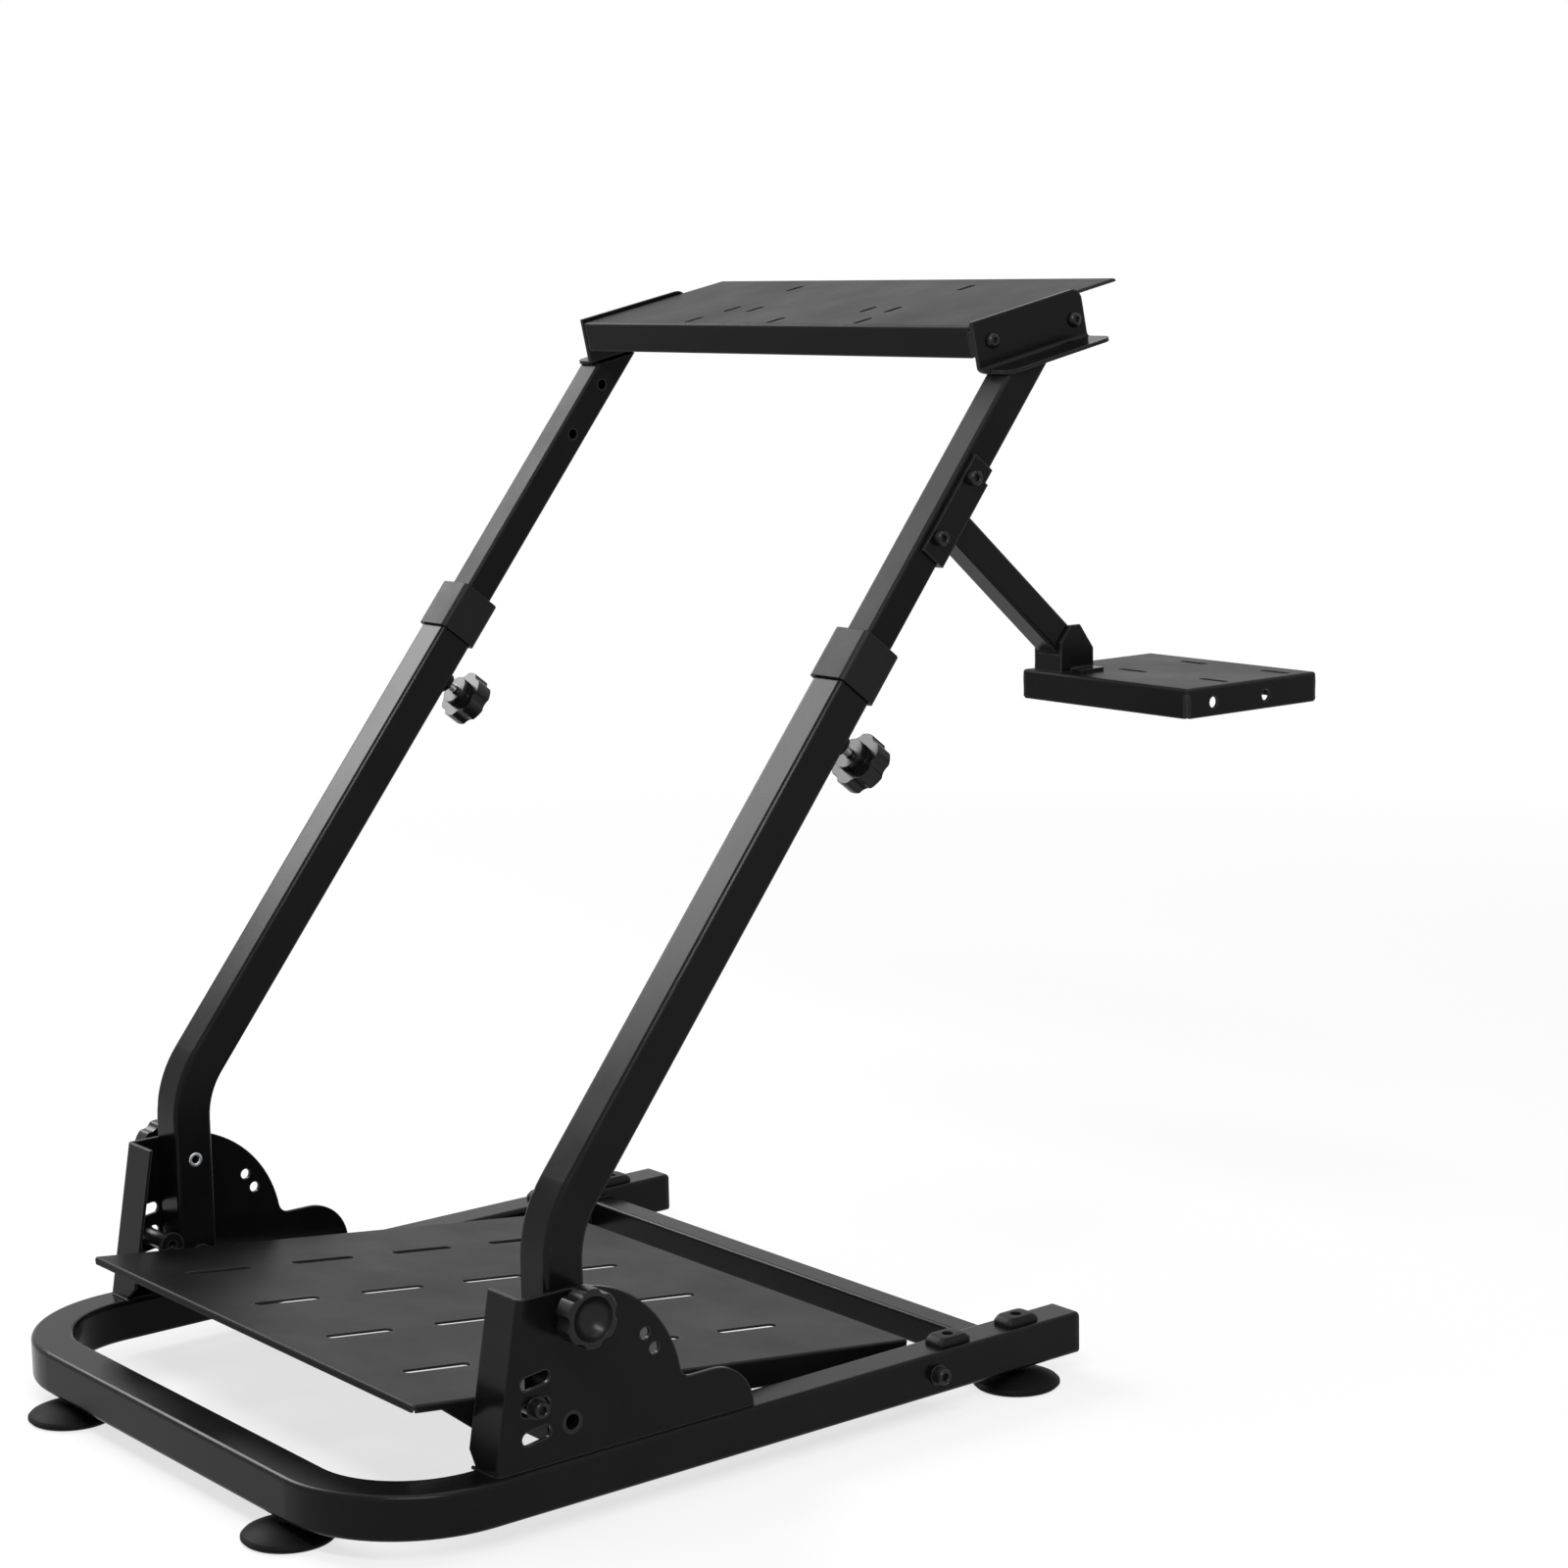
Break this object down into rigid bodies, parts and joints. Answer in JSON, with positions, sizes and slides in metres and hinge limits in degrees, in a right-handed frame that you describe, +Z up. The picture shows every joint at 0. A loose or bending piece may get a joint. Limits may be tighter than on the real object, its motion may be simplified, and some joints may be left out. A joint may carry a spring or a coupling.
{
  "type": "racing wheel stand",
  "caption": "Folding black steel stand with telescopic leaning uprights that carries a steering wheel, pedals and a gear lever on plates.",
  "frame": {"origin": "on the floor under the middle of the bounding box", "axes": "+X to the side with the shifter arm, +Y to the rear where the driver sits, +Z up"},
  "size_m": [0.758, 0.853, 0.8978],
  "materials": {
    "powder_coat": "satin",
    "black_plastic": "matte",
    "zinc_steel": "zinc plated",
    "black_steel": "blackened"
  },
  "bodies": {
    "base": {"base_frame": "powder_coat", "cross_bar": "powder_coat", "pedal_plate": "powder_coat", "foot_front_left": "black_plastic", "foot_front_right": "black_plastic", "foot_rear_left": "black_plastic", "foot_rear_right": "black_plastic", "end_cap_left": "black_plastic", "end_cap_right": "black_plastic", "side_bracket_left": "powder_coat", "side_bracket_right": "powder_coat", "pivot_bush_left": "black_steel", "pivot_bush_right": "black_steel", "front_spacer_left": "black_steel", "front_spacer_right": "black_steel", "rear_spacer_left": "black_steel", "rear_spacer_right": "black_steel"},
    "uprights": {"upright_left": "powder_coat", "upright_right": "powder_coat", "collar_left": "black_plastic", "collar_right": "black_plastic", "knob_boss_left": "powder_coat", "knob_boss_right": "powder_coat"},
    "mast": {"inner_tube_left": "powder_coat", "inner_tube_right": "powder_coat", "plate_bracket_left": "powder_coat", "plate_bracket_right": "powder_coat", "tilt_pivot_bolt_left": "black_steel", "tilt_pivot_bolt_right": "black_steel", "tilt_clamp_bolt_left": "black_steel", "tilt_clamp_bolt_right": "black_steel", "shifter_saddle": "powder_coat", "shifter_arm": "powder_coat", "shifter_plate": "powder_coat", "shifter_gusset": "powder_coat"},
    "wheel_deck": {"wheel_plate": "powder_coat"},
    "lock_knob_left_body": {"lock_knob_left": "black_plastic", "lock_stud_left": "zinc_steel"},
    "lock_knob_right_body": {"lock_knob_right": "black_plastic", "lock_stud_right": "zinc_steel"},
    "height_knob_left_body": {"height_knob_left": "black_plastic", "height_stud_left": "zinc_steel"},
    "height_knob_right_body": {"height_knob_right": "black_plastic", "height_stud_right": "zinc_steel"}
  },
  "joints": [
    {"name": "fold", "type": "hinge", "parent": "base", "child": "uprights", "pos_m": [-0.053, -0.2215, 0.0805], "axis": [-1, 0, 0], "range_deg": [0, 62.6]},
    {"name": "height", "type": "slide", "parent": "uprights", "child": "mast", "axis": [0, 0.6157, 0.788], "range_m": [-0.06, 0.1]},
    {"name": "wheel_tilt", "type": "hinge", "parent": "mast", "child": "wheel_deck", "pos_m": [-0.053, 0.23343, 0.85209], "axis": [1, 0, 0], "range_deg": [-7, 0]},
    {"name": "lock_knob_left_turn", "type": "hinge", "parent": "base", "child": "lock_knob_left_body", "pos_m": [-0.353, -0.2215, 0.166], "axis": [-1, 0, 0], "continuous": true},
    {"name": "height_knob_left_turn", "type": "hinge", "parent": "uprights", "child": "height_knob_left_body", "pos_m": [-0.328, 0.05579, 0.55349], "axis": [0, 0.788, -0.6157], "continuous": true},
    {"name": "lock_knob_right_turn", "type": "hinge", "parent": "base", "child": "lock_knob_right_body", "pos_m": [0.247, -0.2215, 0.166], "axis": [1, 0, 0], "continuous": true},
    {"name": "height_knob_right_turn", "type": "hinge", "parent": "uprights", "child": "height_knob_right_body", "pos_m": [0.222, 0.05579, 0.55349], "axis": [0, 0.788, -0.6157], "continuous": true}
  ]
}
